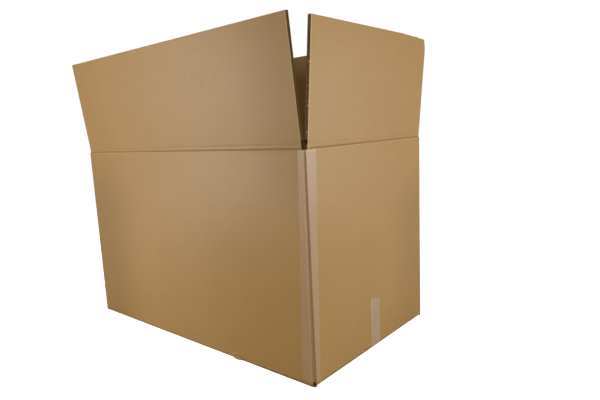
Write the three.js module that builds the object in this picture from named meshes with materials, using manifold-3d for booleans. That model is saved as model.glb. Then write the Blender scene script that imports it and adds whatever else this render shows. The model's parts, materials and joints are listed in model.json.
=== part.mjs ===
// Double-wall corrugated box with its four top flaps standing open, in millimetres, +Z up.
// X runs along the long panels and Y along the end panels. The front panel faces -Y and the
// right end panel faces +X. The origin is on the floor, under the middle of the case.

import * as THREE from 'three';
import { mergeGeometries, mergeVertices } from 'three/addons/utils/BufferGeometryUtils.js';
import Module from 'manifold-3d';

const wasm = await Module();
wasm.setup();

// Case, outside sizes. The height runs from the floor to the crease of the end flaps.
const LENGTH = 762;
const WIDTH = 457;
const HEIGHT = 457;

// Board: three liners with a row of fine flutes outside and a row of coarse flutes inside
const LINER = 0.5;
const FINE_FLUTE_DEPTH = 2.2;
const COARSE_FLUTE_DEPTH = 3.3;
const FINE_FLUTE_PITCH = 6.3;
const COARSE_FLUTE_PITCH = 7.8;
const FLUTE_PAPER = 0.9;
const FLUTE_END_DEPTH = 4;
const CUT_EDGE_RECESS = 1.5;

// Folds, creases and clearances
const VERTICAL_FOLD_RADIUS = 5;
const BOTTOM_FOLD_RADIUS = 4;
const END_FOLD_RADIUS = 3;
const END_FOLD_LIFT = 3;
const CREASE_SLIT = 0.3;
const SCORE_DEPTH = 0.8;
const SCORE_WIDTH = 3;
const CLOSED_FLAP_CLEARANCE = 0.4;
const FLAP_END_CLEARANCE = 0.5;
const FLAP_MEETING_GAP = 1.5;

// Closed bottom
const BOTTOM_LAYER_GAP = 0.3;
const BOTTOM_SLOT = 1;
const CORNER_HOLE_LOW = 2.6;
const CORNER_HOLE_HIGH = 8.5;
const SEAM_RECESS = 0.5;

// How far each top flap leans outward at rest, in degrees from upright
const FRONT_LEAN = 6.7;
const RIGHT_LEAN = 5;
const BACK_LEAN = 1;
const LEFT_LEAN = 2;

// Crushed far corner of the right flap
const CRUSHED_CORNER_WIDTH = 10;
const CRUSHED_CORNER_HEIGHT = 27;

// Open joint between the two ends of the sheet, at the near corner, and the tape over it
const JOINT_RECESS_TOP = 2;
const JOINT_RECESS_BOTTOM = 5.5;
const JOINT_DEPTH = 1.8;
const JOINT_SLIT = 0.4;
const TAPE_THICKNESS = 0.35;
const TAPE_SEAT = 0.15;
const JOINT_TAPE_FRONT_TOP = 19.5;
const JOINT_TAPE_FRONT_BOTTOM = 28;
const JOINT_TAPE_END_TOP = 27.5;
const JOINT_TAPE_END_BOTTOM = 20;
const JOINT_TAPE_BELOW_CREASE = 3;
const JOINT_TAPE_FLOOR_GAP = 10;

// Tape over the bottom seam, with a tail up each end panel
const SEAM_TAPE_WIDTH = 37;
const SEAM_TAPE_TAIL = 100;

// Sizes that follow from the ones above
const BOARD = 3 * LINER + FINE_FLUTE_DEPTH + COARSE_FLUTE_DEPTH;
const OUTER_X = LENGTH / 2;
const OUTER_Y = WIDTH / 2;
const INNER_X = OUTER_X - BOARD;
const INNER_Y = OUTER_Y - BOARD;
const END_CREASE = HEIGHT;
const SIDE_CREASE = HEIGHT + BOARD + CLOSED_FLAP_CLEARANCE;
const FLAP_LENGTH = (WIDTH - FLAP_MEETING_GAP) / 2;
const FLAP_INSET = BOARD + FLAP_END_CLEARANCE;
const SIDE_FLAP_WIDTH = LENGTH - 2 * FLAP_INSET;
const END_FLAP_WIDTH = WIDTH - 2 * FLAP_INSET;
const FLOOR_TOP = 2 * BOARD + BOTTOM_LAYER_GAP;
const FLOOR_END_X = INNER_X - BOTTOM_SLOT;
const OVERSHOOT = 1;

// Solids: a closed geometry becomes a solid that can be joined and cut

function solid(geometry) {
  const bare = geometry.clone();
  bare.deleteAttribute('normal');
  bare.deleteAttribute('uv');
  const merged = mergeVertices(bare, 1e-4);
  return new wasm.Manifold(new wasm.Mesh({
    numProp: 3,
    vertProperties: new Float32Array(merged.attributes.position.array),
    triVerts: new Uint32Array(merged.index.array),
  }));
}

function geometryOf(body) {
  const mesh = body.getMesh();
  const indexed = new THREE.BufferGeometry();
  indexed.setAttribute('position', new THREE.BufferAttribute(mesh.vertProperties, 3));
  indexed.setIndex(new THREE.BufferAttribute(mesh.triVerts, 1));
  const geometry = indexed.toNonIndexed();
  geometry.computeVertexNormals();
  return geometry;
}

function points(...pairs) {
  return pairs.map(([a, b]) => new THREE.Vector2(a, b));
}

// An outline in the plane of its first two axes, run along the third from low to high. Equal
// sizes give equal corners, so faces that are meant to meet do so exactly.
function extrusion(outline, low, high) {
  const options = { depth: 1, bevelEnabled: false };
  const geometry = new THREE.ExtrudeGeometry(new THREE.Shape(outline), options);
  const position = geometry.attributes.position;
  for (let i = 0; i < position.count; i += 1) {
    position.setZ(i, position.getZ(i) > 0 ? high : low);
  }
  return geometry;
}

// A section in (y, z), run along X from x0 to x1
function alongX(outline, x0, x1) {
  const turn = new THREE.Matrix4().makeBasis(
    new THREE.Vector3(0, 1, 0), new THREE.Vector3(0, 0, 1), new THREE.Vector3(1, 0, 0),
  );
  return solid(extrusion(outline, x0, x1).applyMatrix4(turn));
}

// A section in (x, z), run along Y from y0 to y1
function alongY(outline, y0, y1) {
  const turn = new THREE.Matrix4().makeBasis(
    new THREE.Vector3(1, 0, 0), new THREE.Vector3(0, 0, 1), new THREE.Vector3(0, -1, 0),
  );
  return solid(extrusion(outline, -y1, -y0).applyMatrix4(turn));
}

// A section in (x, y), run along Z from z0 to z1
function alongZ(outline, z0, z1) {
  return solid(extrusion(outline, z0, z1));
}

function slab(x0, x1, y0, y1, z0, z1) {
  return alongZ(points([x0, y0], [x1, y0], [x1, y1], [x0, y1]), z0, z1);
}

// An upright prism whose outline changes evenly from low at z0 to high at z1
function tapered(low, high, z0, z1) {
  const geometry = extrusion(low, z0, z1);
  const position = geometry.attributes.position;
  for (let i = 0; i < position.count; i += 1) {
    if (position.getZ(i) > (z0 + z1) / 2) {
      const here = new THREE.Vector2(position.getX(i), position.getY(i));
      const corner = low.findIndex((point) => point.distanceTo(here) < 1e-3);
      position.setXY(i, high[corner].x, high[corner].y);
    }
  }
  return solid(geometry);
}

function bothSides(body, normal) {
  return [body, body.mirror(normal)];
}

// Case: walls and closed bottom, one folded sheet

function roundedRectangle(halfX, halfY, radius) {
  const shape = new THREE.Shape();
  shape.absarc(halfX - radius, halfY - radius, radius, 0, Math.PI / 2);
  shape.absarc(radius - halfX, halfY - radius, radius, Math.PI / 2, Math.PI);
  shape.absarc(radius - halfX, radius - halfY, radius, Math.PI, 1.5 * Math.PI);
  shape.absarc(halfX - radius, radius - halfY, radius, 1.5 * Math.PI, 2 * Math.PI);
  return shape.getPoints(5);
}

function caseBlock() {
  const top = SIDE_CREASE - CREASE_SLIT / 2;
  const block = alongZ(roundedRectangle(OUTER_X, OUTER_Y, VERTICAL_FOLD_RADIUS), 0, top);
  const profile = new THREE.Shape();
  profile.moveTo(OUTER_Y, top + OVERSHOOT);
  profile.lineTo(-OUTER_Y, top + OVERSHOOT);
  const centre = OUTER_Y - BOTTOM_FOLD_RADIUS;
  profile.absarc(-centre, BOTTOM_FOLD_RADIUS, BOTTOM_FOLD_RADIUS, Math.PI, 1.5 * Math.PI);
  profile.absarc(centre, BOTTOM_FOLD_RADIUS, BOTTOM_FOLD_RADIUS, 1.5 * Math.PI, 2 * Math.PI);
  return block.intersect(alongX(profile.getPoints(4), -LENGTH, LENGTH));
}

// Everything between the folded board: the inside, the slots between the bottom flaps and
// the slit where the two lower flaps meet over the seam tape
function bottomCuts() {
  const flapEdge = OUTER_X - FLAP_LENGTH;
  const slotY = INNER_Y - BOTTOM_SLOT;
  const layer = BOARD + BOTTOM_LAYER_GAP / 2;
  const gap = FLAP_MEETING_GAP / 2;
  const tapeHalf = SEAM_TAPE_WIDTH / 2 + BOTTOM_SLOT;
  const inside = slab(-INNER_X, INNER_X, -INNER_Y, INNER_Y, FLOOR_TOP, SIDE_CREASE + OVERSHOOT);
  const betweenEndFlaps = slab(-flapEdge, flapEdge, -INNER_Y, INNER_Y, layer, FLOOR_TOP + OVERSHOOT);
  const betweenLayers = slab(-INNER_X, INNER_X, -INNER_Y, INNER_Y, BOARD, BOARD + BOTTOM_LAYER_GAP);
  const endSlot = slab(FLOOR_END_X, INNER_X, -INNER_Y, INNER_Y, -OVERSHOOT, layer);
  const sideSlot = slab(-INNER_X, INNER_X, slotY, INNER_Y, layer, FLOOR_TOP + OVERSHOOT);
  const meeting = slab(-INNER_X, INNER_X, -gap, gap, -OVERSHOOT, layer);
  const recess = slab(-INNER_X, INNER_X, -tapeHalf, tapeHalf, -OVERSHOOT, SEAM_RECESS);
  return [
    inside, betweenEndFlaps, betweenLayers, meeting, recess,
    ...bothSides(endSlot, [1, 0, 0]), ...bothSides(sideSlot, [0, 1, 0]),
  ];
}

// The end panels fold in above the lower flaps, so their rounded folds stop short of the floor
function endFoldCut() {
  const shape = new THREE.Shape();
  shape.moveTo(INNER_X, -OVERSHOOT);
  shape.lineTo(OUTER_X + OVERSHOOT, -OVERSHOOT);
  shape.lineTo(OUTER_X + OVERSHOOT, END_FOLD_LIFT + END_FOLD_RADIUS);
  shape.lineTo(OUTER_X, END_FOLD_LIFT + END_FOLD_RADIUS);
  const centreX = OUTER_X - END_FOLD_RADIUS;
  const centreZ = END_FOLD_LIFT + END_FOLD_RADIUS;
  shape.absarc(centreX, centreZ, END_FOLD_RADIUS, 0, -Math.PI / 2, true);
  shape.lineTo(INNER_X, END_FOLD_LIFT);
  return bothSides(alongY(shape.getPoints(4), -INNER_Y, INNER_Y), [1, 0, 0]);
}

// The slots between the bottom flaps come through as a small hole at each corner
function cornerHoles() {
  const x = INNER_X - BOTTOM_SLOT / 2;
  const y = INNER_Y - BOTTOM_SLOT / 2;
  const hole = slab(x, OUTER_X + OVERSHOOT, y, OUTER_Y + OVERSHOOT, CORNER_HOLE_LOW, CORNER_HOLE_HIGH);
  return bothSides(hole, [1, 0, 0]).flatMap((side) => bothSides(side, [0, 1, 0]));
}

// Above the end creases only the long panels go on, as far as the slots beside their flaps
function topSlots() {
  const start = OUTER_X - FLAP_INSET;
  const low = END_CREASE - CREASE_SLIT / 2;
  const slot = slab(
    start, OUTER_X + OVERSHOOT, -OUTER_Y - OVERSHOOT, OUTER_Y + OVERSHOOT, low, SIDE_CREASE + OVERSHOOT,
  );
  return bothSides(slot, [1, 0, 0]);
}

// The board is pressed away inside each top crease, so that the flap can fold in
function creaseMitre(outer, inner, crease) {
  const low = crease - CREASE_SLIT / 2;
  return points(
    [outer, low], [outer, crease + OVERSHOOT], [inner - OVERSHOOT, crease + OVERSHOOT],
    [inner - OVERSHOOT, low - BOARD - OVERSHOOT],
  );
}

function topMitres() {
  const side = alongX(creaseMitre(OUTER_Y, INNER_Y, SIDE_CREASE), -INNER_X, INNER_X);
  const end = alongY(creaseMitre(OUTER_X, INNER_X, END_CREASE), -INNER_Y, INNER_Y);
  return [...bothSides(side, [0, 1, 0]), ...bothSides(end, [1, 0, 0])];
}

function scoreSection(face, inward, height) {
  return points(
    [face - inward * OVERSHOOT, height - SCORE_WIDTH / 2], [face, height - SCORE_WIDTH / 2],
    [face + inward * SCORE_DEPTH, height], [face, height + SCORE_WIDTH / 2],
    [face - inward * OVERSHOOT, height + SCORE_WIDTH / 2],
  );
}

function panelScores() {
  const score = alongX(scoreSection(OUTER_Y, -1, END_CREASE), -LENGTH, LENGTH);
  return bothSides(score, [0, 1, 0]);
}

// The two cut ends of the sheet meet at the near corner (+X, -Y) and leave a recess, which
// widens towards the floor
function recessAt(z) {
  return THREE.MathUtils.lerp(JOINT_RECESS_BOTTOM, JOINT_RECESS_TOP, z / SIDE_CREASE);
}

function jointRecess() {
  const outline = (recess) => {
    const depth = recess / 2 + JOINT_DEPTH;
    return points(
      [OUTER_X - recess, -OUTER_Y - OVERSHOOT], [OUTER_X + OVERSHOOT, -OUTER_Y - OVERSHOOT],
      [OUTER_X + OVERSHOOT, recess - OUTER_Y], [OUTER_X, recess - OUTER_Y],
      [OUTER_X - depth, depth - OUTER_Y], [OUTER_X - recess, -OUTER_Y],
    );
  };
  return tapered(outline(recessAt(-OVERSHOOT)), outline(recessAt(SIDE_CREASE)), -OVERSHOOT, SIDE_CREASE);
}

function jointSlit() {
  const shift = JOINT_SLIT / Math.SQRT2 / 2;
  const outline = points(
    [INNER_X - OVERSHOOT - shift, OVERSHOOT - INNER_Y - shift],
    [OUTER_X - shift, -OUTER_Y - shift],
    [OUTER_X + shift, -OUTER_Y + shift],
    [INNER_X - OVERSHOOT + shift, OVERSHOOT - INNER_Y + shift],
  );
  return alongZ(outline, CORNER_HOLE_LOW, SIDE_CREASE);
}

function caseBody() {
  const cuts = [
    ...bottomCuts(), ...endFoldCut(), ...cornerHoles(), ...topSlots(), ...topMitres(),
    ...panelScores(), jointRecess(), jointSlit(),
  ];
  return cuts.reduce((body, cut) => body.subtract(cut), caseBlock());
}

// Flaps: X along the crease, Y inward from the outer face, Z up from the crease

// The cut sides show three liners with the two rows of flutes set back between them
function flapPlan(width) {
  const half = width / 2;
  const back = half - CUT_EDGE_RECESS;
  const edges = [
    [0, half], [LINER, half], [LINER, back], [LINER + FINE_FLUTE_DEPTH, back],
    [LINER + FINE_FLUTE_DEPTH, half], [2 * LINER + FINE_FLUTE_DEPTH, half],
    [2 * LINER + FINE_FLUTE_DEPTH, back], [BOARD - LINER, back], [BOARD - LINER, half], [BOARD, half],
  ];
  const right = edges.map(([y, x]) => [x, y]);
  const left = edges.map(([y, x]) => [-x, y]).reverse();
  return points(...right, ...left);
}

// Hollow ends of one row of flutes in the flap's free edge: triangles that point inward and
// outward in turn, each a cone with three sides
function fluteEnds(width, nearY, depth, pitch) {
  const rise = FLUTE_END_DEPTH + OVERSHOOT / 4;
  const cone = new THREE.ConeGeometry(1, rise, 3).rotateX(-Math.PI / 2);
  cone.scale((pitch / 2 - FLUTE_PAPER) / Math.sin(Math.PI / 3), (depth * 0.9) / 1.5, 1);
  const margin = CUT_EDGE_RECESS + pitch / 2;
  const count = Math.floor((width - 2 * margin) / (pitch / 2)) + 1;
  const start = -((count - 1) * pitch) / 4;
  const cones = [];
  for (let i = 0; i < count; i += 1) {
    const end = cone.clone();
    const inward = i % 2 === 0;
    if (!inward) end.rotateZ(Math.PI);
    const y = inward ? nearY + depth * 0.32 : nearY + depth * 0.68;
    end.translate(start + (i * pitch) / 2, y, FLAP_LENGTH + OVERSHOOT / 4 - rise / 2);
    cones.push(end);
  }
  return solid(mergeGeometries(cones));
}

function flapMitre(width) {
  const low = CREASE_SLIT / 2;
  const outline = points(
    [-OVERSHOOT, -OVERSHOOT], [BOARD + OVERSHOOT, -OVERSHOOT], [BOARD + OVERSHOOT, low + BOARD + OVERSHOOT],
    [0, low], [-OVERSHOOT, low],
  );
  return alongX(outline, -width, width);
}

function flap(width) {
  return alongZ(flapPlan(width), 0, FLAP_LENGTH)
    .subtract(flapMitre(width))
    .subtract(fluteEnds(width, LINER, FINE_FLUTE_DEPTH, FINE_FLUTE_PITCH))
    .subtract(fluteEnds(width, 2 * LINER + FINE_FLUTE_DEPTH, COARSE_FLUTE_DEPTH, COARSE_FLUTE_PITCH));
}

// The end flaps fold at the lower score line and carry the upper one on their outer face
function endFlap() {
  const score = alongX(scoreSection(0, 1, SIDE_CREASE - END_CREASE), -WIDTH, WIDTH);
  return flap(END_FLAP_WIDTH).subtract(score);
}

function crushedEndFlap() {
  const edge = END_FLAP_WIDTH / 2;
  const outline = points(
    [edge - CRUSHED_CORNER_WIDTH, FLAP_LENGTH + OVERSHOOT], [edge - CRUSHED_CORNER_WIDTH, FLAP_LENGTH],
    [edge, FLAP_LENGTH - CRUSHED_CORNER_HEIGHT], [edge + OVERSHOOT, FLAP_LENGTH - CRUSHED_CORNER_HEIGHT],
    [edge + OVERSHOOT, FLAP_LENGTH + OVERSHOOT],
  );
  return endFlap().subtract(alongY(outline, -OVERSHOOT, BOARD + OVERSHOOT));
}

// Tapes

// The joint tape lies on both panels and sinks into the recess between them
function jointTape() {
  const z0 = JOINT_TAPE_FLOOR_GAP;
  const z1 = END_CREASE - JOINT_TAPE_BELOW_CREASE;
  const near = TAPE_SEAT;
  const far = TAPE_SEAT + TAPE_THICKNESS;
  const outline = (front, end, recess) => {
    const inner = recess / 2 + JOINT_DEPTH - 2 * CREASE_SLIT;
    const outer = inner - TAPE_THICKNESS * Math.SQRT2;
    return points(
      [OUTER_X - front, -OUTER_Y - far], [OUTER_X - recess + far, -OUTER_Y - far],
      [OUTER_X - outer, outer - OUTER_Y], [OUTER_X + far, recess - far - OUTER_Y],
      [OUTER_X + far, end - OUTER_Y], [OUTER_X + near, end - OUTER_Y],
      [OUTER_X + near, recess - near - OUTER_Y], [OUTER_X - inner, inner - OUTER_Y],
      [OUTER_X - recess + near, -OUTER_Y - near], [OUTER_X - front, -OUTER_Y - near],
    );
  };
  return tapered(
    outline(JOINT_TAPE_FRONT_BOTTOM, JOINT_TAPE_END_BOTTOM, recessAt(z0)),
    outline(JOINT_TAPE_FRONT_TOP, JOINT_TAPE_END_TOP, recessAt(z1)), z0, z1,
  );
}

// The seam tape runs under the bottom, wraps both end folds and climbs the end panels
function seamTape() {
  const near = TAPE_SEAT;
  const far = TAPE_SEAT + TAPE_THICKNESS;
  const centreX = OUTER_X - END_FOLD_RADIUS;
  const centreZ = END_FOLD_LIFT + END_FOLD_RADIUS;
  const side = (offset, floor) => {
    const path = new THREE.Path();
    path.moveTo(FLOOR_END_X, floor);
    path.lineTo(FLOOR_END_X + CREASE_SLIT, floor);
    path.absarc(centreX, centreZ, END_FOLD_RADIUS + offset, -Math.PI / 2, 0);
    path.lineTo(OUTER_X + offset, SEAM_TAPE_TAIL);
    return path.getPoints(5);
  };
  const flip = (list) => list.map((point) => new THREE.Vector2(-point.x, point.y));
  const outer = side(far, 0);
  const inner = side(near, TAPE_THICKNESS);
  const outline = [...flip(outer).reverse(), ...outer, ...inner.toReversed(), ...flip(inner)];
  return alongY(outline, -SEAM_TAPE_WIDTH / 2, SEAM_TAPE_WIDTH / 2);
}

// Materials

const kraftBoard = () => new THREE.MeshStandardMaterial({ color: 0xb39469, roughness: 0.86, metalness: 0 });
const paperTape = () => new THREE.MeshStandardMaterial({ color: 0xbb9c7c, roughness: 0.8, metalness: 0 });
const filmTape = () => new THREE.MeshStandardMaterial({ color: 0xa98c70, roughness: 0.45, metalness: 0 });

// Assembly

function piece(name, body, material) {
  const mesh = new THREE.Mesh(geometryOf(body), material);
  mesh.name = name;
  return mesh;
}

// A flap stands on its crease, at a distance from the middle of the case, and leans outward
function standingFlap(mesh, distance, crease, turn, lean) {
  const hinge = new THREE.Group();
  hinge.position.set(0, -distance, 0);
  hinge.rotation.x = THREE.MathUtils.degToRad(lean);
  hinge.add(mesh);
  const side = new THREE.Group();
  side.position.z = crease;
  side.rotation.z = THREE.MathUtils.degToRad(turn);
  side.add(hinge);
  return side;
}

const box = new THREE.Group();
box.add(
  piece('case_body', caseBody(), kraftBoard()),
  piece('joint_tape', jointTape(), paperTape()),
  piece('seam_tape', seamTape(), filmTape()),
  standingFlap(piece('front_flap', flap(SIDE_FLAP_WIDTH), kraftBoard()), OUTER_Y, SIDE_CREASE, 0, FRONT_LEAN),
  standingFlap(piece('right_flap', crushedEndFlap(), kraftBoard()), OUTER_X, END_CREASE, 90, RIGHT_LEAN),
  standingFlap(piece('back_flap', flap(SIDE_FLAP_WIDTH), kraftBoard()), OUTER_Y, SIDE_CREASE, 180, BACK_LEAN),
  standingFlap(piece('left_flap', endFlap(), kraftBoard()), OUTER_X, END_CREASE, 270, LEFT_LEAN),
);

export default box;
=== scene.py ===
"""Double-wall corrugated carton with its top flaps standing open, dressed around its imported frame.

Sizes are in metres in the row frame: X along the long panels, Y along the end panels, Z up from the floor.
"""

import json
import math
import random
from collections import namedtuple
from contextlib import contextmanager

import bmesh
import bpy
from mathutils import Matrix, Vector


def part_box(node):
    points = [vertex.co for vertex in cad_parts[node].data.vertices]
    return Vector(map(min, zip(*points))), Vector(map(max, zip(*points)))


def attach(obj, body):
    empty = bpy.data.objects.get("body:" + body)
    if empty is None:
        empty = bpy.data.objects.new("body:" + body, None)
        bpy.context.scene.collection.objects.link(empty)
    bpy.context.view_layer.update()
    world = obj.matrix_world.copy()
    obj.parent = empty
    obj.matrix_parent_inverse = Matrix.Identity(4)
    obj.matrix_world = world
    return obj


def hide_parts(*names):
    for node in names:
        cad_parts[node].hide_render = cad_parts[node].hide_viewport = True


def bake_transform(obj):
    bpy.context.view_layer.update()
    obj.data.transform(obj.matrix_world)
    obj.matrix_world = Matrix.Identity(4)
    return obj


bl_info = {
    "name": "Double-wall carton",
    "version": (1, 0, 0),
    "blender": (4, 5, 0),
    "location": "3D View > Sidebar > Carton",
    "description": "Builds an open double-wall corrugated carton with its tapes and creases",
    "category": "Add Mesh",
}

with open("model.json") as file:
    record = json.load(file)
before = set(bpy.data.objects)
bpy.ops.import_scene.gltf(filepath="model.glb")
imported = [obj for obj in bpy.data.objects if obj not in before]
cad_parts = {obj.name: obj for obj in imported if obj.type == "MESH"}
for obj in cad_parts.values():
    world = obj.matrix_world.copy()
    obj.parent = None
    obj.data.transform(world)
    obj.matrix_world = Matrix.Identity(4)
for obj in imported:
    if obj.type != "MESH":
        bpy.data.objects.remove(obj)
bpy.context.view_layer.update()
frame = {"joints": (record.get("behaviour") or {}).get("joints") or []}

MM = 0.001
NEAR = 0.02 * MM
OVER = 2 * MM

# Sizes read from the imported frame
CASE_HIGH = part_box("case_body")[1]
HALF_LENGTH = CASE_HIGH.x
HALF_WIDTH = CASE_HIGH.y
HINGES = {joint["child"]: joint for joint in frame["joints"]}
SIDE_CREASE = HINGES["front_flap"]["pos_m"][2]
END_CREASE = HINGES["right_flap"]["pos_m"][2]
SIDE_FLAP_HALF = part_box("front_flap")[1].x
END_FLAP_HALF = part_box("right_flap")[1].y
UPRIGHT_TO_LEVEL = 90

# Closed bottom and the meeting edges of the flaps
BOARD = SIDE_CREASE - END_CREASE - 0.4 * MM
INNER_X = HALF_LENGTH - BOARD
INNER_Y = HALF_WIDTH - BOARD
FLAP_LENGTH = HALF_WIDTH - 0.75 * MM
MINOR_FLOOR = BOARD + 0.3 * MM
END_FOLD_LIFT = 3 * MM
BOTTOM_SLOT = 1 * MM

# Crease zone: the case walls end below both score lines, and the flap board starts above them
WALL_TOP = END_CREASE - 6 * MM
FLAP_ROOT = SIDE_CREASE + 8 * MM
BEND_REACH = 4 * MM
NOTCH = END_CREASE - 1.5 * MM
CREASE_ROW = 1.1 * MM

Side = namedtuple("Side", "name turn distance crease flap_half wall_half lean")


def side(name, turn, distance, crease, flap_half, wall_half):
    lean = HINGES[name + "_flap"]["range_deg"][1] - UPRIGHT_TO_LEVEL
    return Side(name, math.radians(turn), distance, crease, flap_half, wall_half, math.radians(lean))


SIDES = [
    side("front", 0, HALF_WIDTH, SIDE_CREASE, SIDE_FLAP_HALF, HALF_LENGTH),
    side("right", 90, HALF_LENGTH, END_CREASE, END_FLAP_HALF, END_FLAP_HALF),
    side("back", 180, HALF_WIDTH, SIDE_CREASE, SIDE_FLAP_HALF, HALF_LENGTH),
    side("left", 270, HALF_LENGTH, END_CREASE, END_FLAP_HALF, END_FLAP_HALF),
]


class CartonSizes(bpy.types.PropertyGroup):
    """Sizes of the board, its folds and its tapes"""

    liner: bpy.props.FloatProperty(
        name="Liner", description="Thickness of each flat liner", default=0.5 * MM, unit="LENGTH")
    fine_depth: bpy.props.FloatProperty(
        name="Fine flute depth", description="Depth of the outer row of flutes", default=2.2 * MM,
        unit="LENGTH")
    coarse_depth: bpy.props.FloatProperty(
        name="Coarse flute depth", description="Depth of the inner row of flutes", default=3.3 * MM,
        unit="LENGTH")
    fine_pitch: bpy.props.FloatProperty(
        name="Fine flute pitch", description="Width of one wave of the outer flutes", default=6.3 * MM,
        unit="LENGTH")
    coarse_pitch: bpy.props.FloatProperty(
        name="Coarse flute pitch", description="Width of one wave of the inner flutes", default=7.8 * MM,
        unit="LENGTH")
    flute_paper: bpy.props.FloatProperty(
        name="Flute paper", description="Thickness of the fluted paper", default=0.28 * MM, unit="LENGTH")
    flute_recess: bpy.props.FloatProperty(
        name="Flute recess", description="How far the flutes stop short of a side cut", default=1.2 * MM,
        unit="LENGTH")
    fold_radius: bpy.props.FloatProperty(
        name="Fold radius", description="Outer radius of the vertical folds", default=5 * MM,
        unit="LENGTH")
    main_score: bpy.props.FloatProperty(
        name="Main score depth", description="Depth of the lower score line", default=0.95 * MM,
        unit="LENGTH")
    faint_score: bpy.props.FloatProperty(
        name="Faint score depth", description="Depth of the upper score line", default=0.32 * MM,
        unit="LENGTH")
    seam_tape_width: bpy.props.FloatProperty(
        name="Seam tape width", description="Width of the tape under the bottom", default=37 * MM,
        unit="LENGTH")
    seam_tape_tail: bpy.props.FloatProperty(
        name="Seam tape tail", description="Height of the tape on the end panels", default=115 * MM,
        unit="LENGTH")


class CartonColours(bpy.types.PropertyGroup):
    """Colours of the papers and tapes"""

    liner: bpy.props.FloatVectorProperty(
        name="Liner", description="Kraft liner", subtype="COLOR", size=3, min=0, max=1,
        default=(0.47, 0.274, 0.093))
    liner_shade: bpy.props.FloatVectorProperty(
        name="Liner shade", description="Darker patches of the kraft liner", subtype="COLOR", size=3,
        min=0, max=1, default=(0.40, 0.224, 0.061))
    # Very dark: partly the darker fluting medium, partly painted shade of the hollow flutes in the cut edges
    flutes: bpy.props.FloatVectorProperty(
        name="Flutes", description="Fluted paper and cut edges", subtype="COLOR", size=3, min=0, max=1,
        default=(0.034, 0.018, 0.008))
    paper_tape: bpy.props.FloatVectorProperty(
        name="Paper tape", description="Tape over the case's joint", subtype="COLOR", size=3, min=0,
        max=1, default=(0.50, 0.338, 0.215))
    seam_tape: bpy.props.FloatVectorProperty(
        name="Seam tape", description="Tape over the bottom seam", subtype="COLOR", size=3, min=0,
        max=1, default=(0.47, 0.318, 0.2))


# Modelling helpers

def activate(*pieces):
    bpy.ops.object.select_all(action="DESELECT")
    for piece in pieces:
        piece.select_set(True)
    bpy.context.view_layer.objects.active = pieces[0]


@contextmanager
def editing(piece, kind="FACE"):
    activate(piece)
    bpy.ops.object.mode_set(mode="EDIT")
    bpy.ops.mesh.select_mode(type=kind)
    yield
    bpy.ops.object.mode_set(mode="OBJECT")


def pick(piece, kind, test):
    """Selects the vertices, edges or faces whose middle passes the test."""
    bpy.ops.mesh.select_all(action="DESELECT")
    mesh = bmesh.from_edit_mesh(piece.data)
    for part in getattr(mesh, kind):
        corners = [part] if kind == "verts" else part.verts
        middle = sum((corner.co for corner in corners), Vector()) / len(corners)
        if test(middle):
            part.select_set(True)
    mesh.select_flush_mode()
    bmesh.update_edit_mesh(piece.data)


def slice_at(piece, points, normal):
    """Adds a loop of edges at each point along a direction."""
    with editing(piece):
        for point in points:
            bpy.ops.mesh.select_all(action="SELECT")
            bpy.ops.mesh.bisect(plane_co=point, plane_no=normal, threshold=NEAR / 10)


def apply_place():
    bpy.ops.object.transform_apply(location=True, rotation=True, scale=True)


def block(name, low, high):
    """A closed block between two corners."""
    low, high = Vector(low), Vector(high)
    bpy.ops.object.select_all(action="DESELECT")
    bpy.ops.mesh.primitive_cube_add(size=1, location=(low + high) / 2)
    made = bpy.context.object
    made.scale = high - low
    apply_place()
    made.name = name
    return made


def add_modifier(piece, kind, **settings):
    activate(piece)
    modifier = piece.modifiers.new(kind.title(), kind)
    for name, value in settings.items():
        setattr(modifier, name, value)
    bpy.ops.object.modifier_apply(modifier=modifier.name)


def cut(piece, *cutters):
    for cutter in cutters:
        add_modifier(piece, "BOOLEAN", operation="DIFFERENCE", solver="EXACT", object=cutter)
        bpy.data.objects.remove(cutter)


def joined(name, pieces):
    activate(*pieces)
    bpy.ops.object.join()
    pieces[0].name = name
    return pieces[0]


def smooth(piece, degrees=35):
    activate(piece)
    bpy.ops.object.shade_smooth_by_angle(angle=math.radians(degrees))


def place(piece, matrix):
    piece.matrix_world = matrix
    activate(piece)
    apply_place()


def wall_matrix(where):
    """From a panel's own axes, X along it, Y inward and Z up, to the row frame."""
    return Matrix.Rotation(where.turn, 4, "Z") @ Matrix.Translation((0, -where.distance, 0))


def flap_matrix(where):
    lean = Matrix.Rotation(where.lean, 4, "X")
    return wall_matrix(where) @ Matrix.Translation((0, 0, where.crease)) @ lean


def mapped_sheet(name, columns, rows, thickness, point):
    """A thin closed sheet whose columns and rows go where point(u, v), each from 0 to 1, says."""
    bpy.ops.object.select_all(action="DESELECT")
    bpy.ops.mesh.primitive_grid_add(x_subdivisions=columns, y_subdivisions=rows, size=1)
    made = bpy.context.object
    made.name = name
    for vertex in made.data.vertices:
        vertex.co = point(vertex.co.x + 0.5, vertex.co.y + 0.5)
    add_modifier(made, "SOLIDIFY", thickness=thickness, offset=1, use_even_offset=True)
    with editing(made):
        bpy.ops.mesh.select_all(action="SELECT")
        bpy.ops.mesh.normals_make_consistent(inside=False)
    return made


# Shader helpers

class Value:
    """A shader number that can stand in Python sums, each of which adds its Math node."""

    def __init__(self, finish, socket):
        self.finish = finish
        self.socket = socket

    def join(self, operation, first, second):
        return self.finish.math(operation, first, second)

    def __add__(self, other):
        return self.join("ADD", self, other)

    def __radd__(self, other):
        return self.join("ADD", other, self)

    def __sub__(self, other):
        return self.join("SUBTRACT", self, other)

    def __rsub__(self, other):
        return self.join("SUBTRACT", other, self)

    def __mul__(self, other):
        return self.join("MULTIPLY", self, other)

    def __rmul__(self, other):
        return self.join("MULTIPLY", other, self)

    def __abs__(self):
        return self.join("ABSOLUTE", self, 0)


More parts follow.
